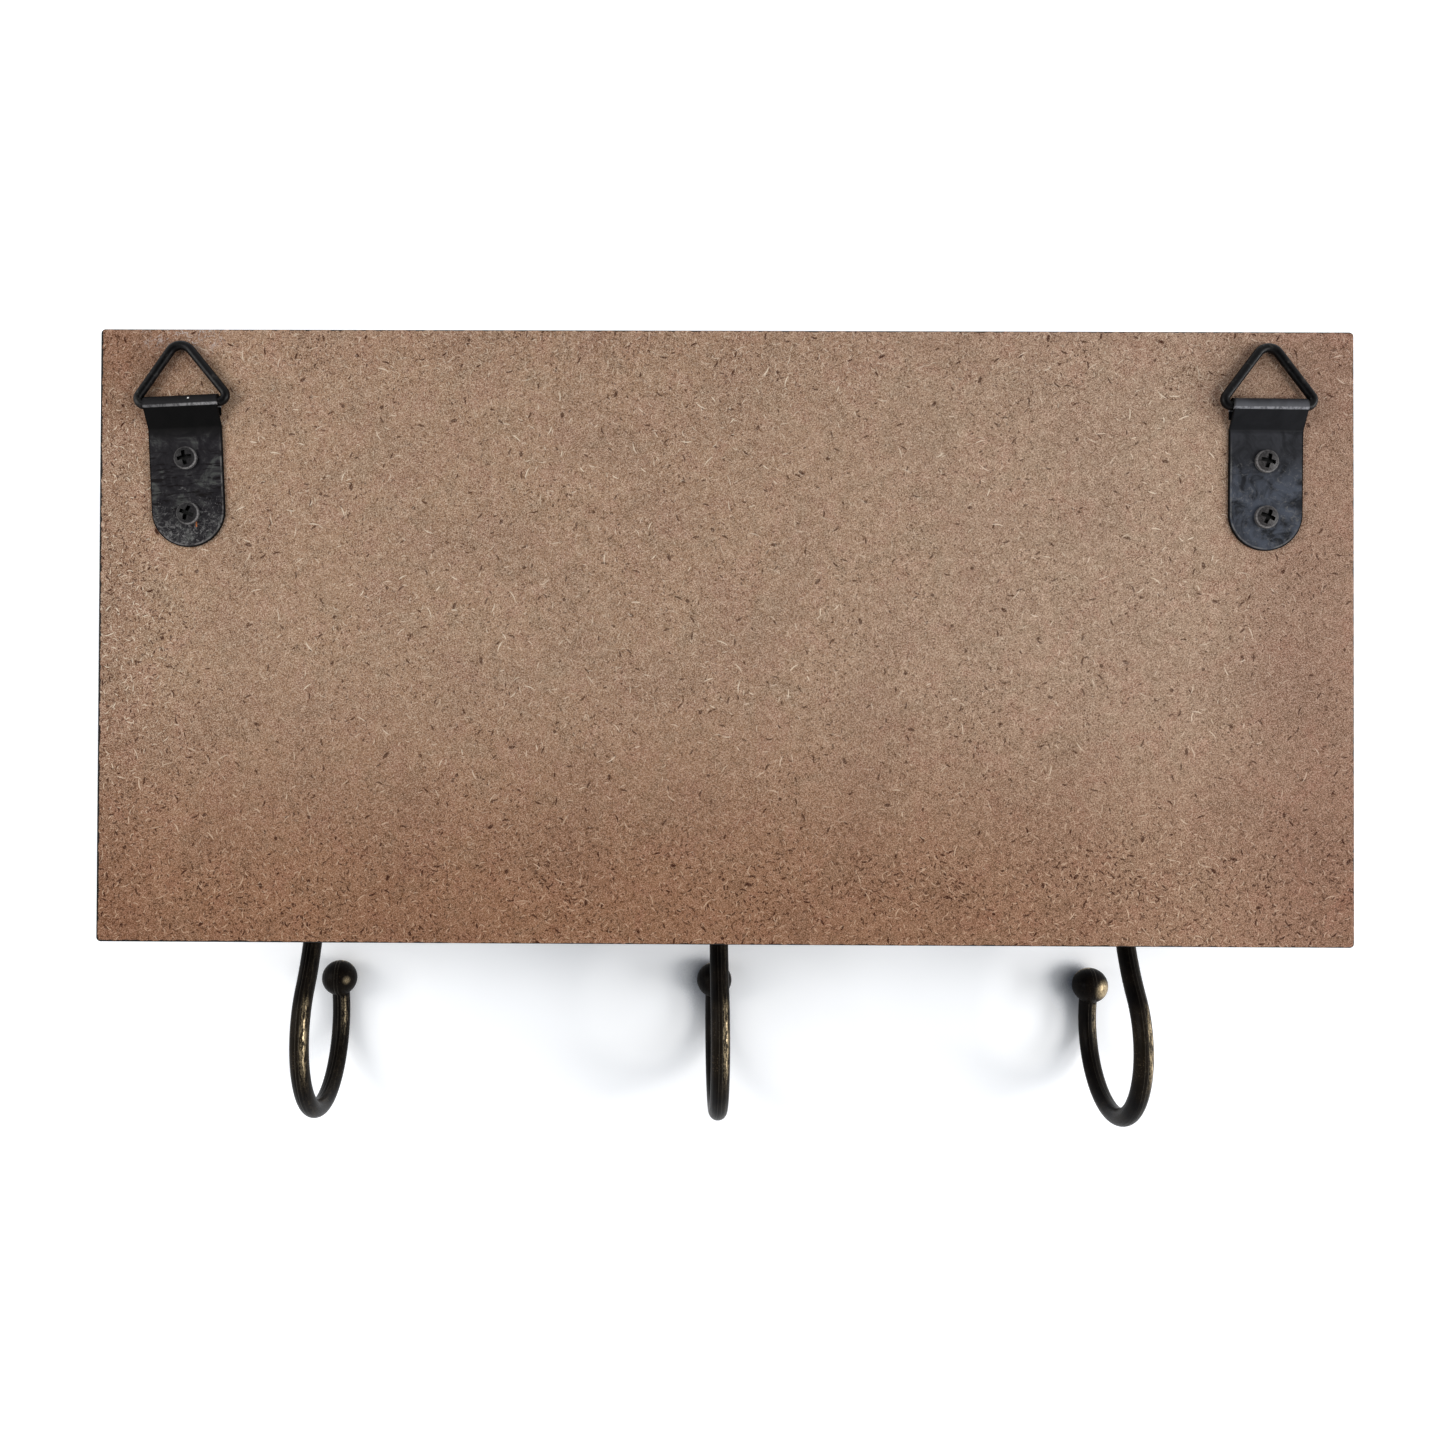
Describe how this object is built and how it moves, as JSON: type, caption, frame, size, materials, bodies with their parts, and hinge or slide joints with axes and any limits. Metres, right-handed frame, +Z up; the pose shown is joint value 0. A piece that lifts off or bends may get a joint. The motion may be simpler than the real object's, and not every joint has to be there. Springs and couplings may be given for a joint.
{
  "type": "wall key holder",
  "caption": "Long fibreboard wall panel with swan-necked ball-tipped key hooks below its lower edge and triangular ring hangers on its back.",
  "frame": {"origin": "on the board's vertical centre line, at the height where the two hanging rings bear on the wall's hooks, in the plane of the board's back face", "axes": "+Z up as it hangs, front faces -Y, back and wall towards +Y, +X to the right seen from the front"},
  "size_m": [0.301, 0.06, 0.1995],
  "materials": {
    "fibreboard": "bare brown fibreboard on the back, satin black paint on the front and edges",
    "blackened_steel": "blackened, scuffed steel",
    "screw_steel": "dark zinc-plated steel",
    "antique_bronze": "dark antique bronze with rubbed golden highlights"
  },
  "bodies": {
    "holder": {"board": "fibreboard", "hanger_strap_left": "blackened_steel", "hanger_screw_left_upper": "screw_steel", "hanger_screw_left_lower": "screw_steel", "hanger_strap_right": "blackened_steel", "hanger_screw_right_upper": "screw_steel", "hanger_screw_right_lower": "screw_steel", "key_hook_left": "antique_bronze", "hook_screw_left_upper": "antique_bronze", "hook_screw_left_lower": "antique_bronze", "key_hook_centre": "antique_bronze", "hook_screw_centre_upper": "antique_bronze", "hook_screw_centre_lower": "antique_bronze", "key_hook_right": "antique_bronze", "hook_screw_right_upper": "antique_bronze", "hook_screw_right_lower": "antique_bronze"},
    "ring_left": {"hanger_ring_left": "blackened_steel"},
    "ring_right": {"hanger_ring_right": "blackened_steel"}
  },
  "joints": [
    {"name": "ring_swing_left", "type": "hinge", "parent": "holder", "child": "ring_left", "pos_m": [-0.12927, 0.0018, -0.013], "axis": [-1, 0, -0.0087], "range_deg": [0, 155]},
    {"name": "ring_swing_right", "type": "hinge", "parent": "holder", "child": "ring_right", "pos_m": [0.13009, 0.0018, -0.01303], "axis": [-0.9987, 0, 0.0506], "range_deg": [0, 155]}
  ]
}
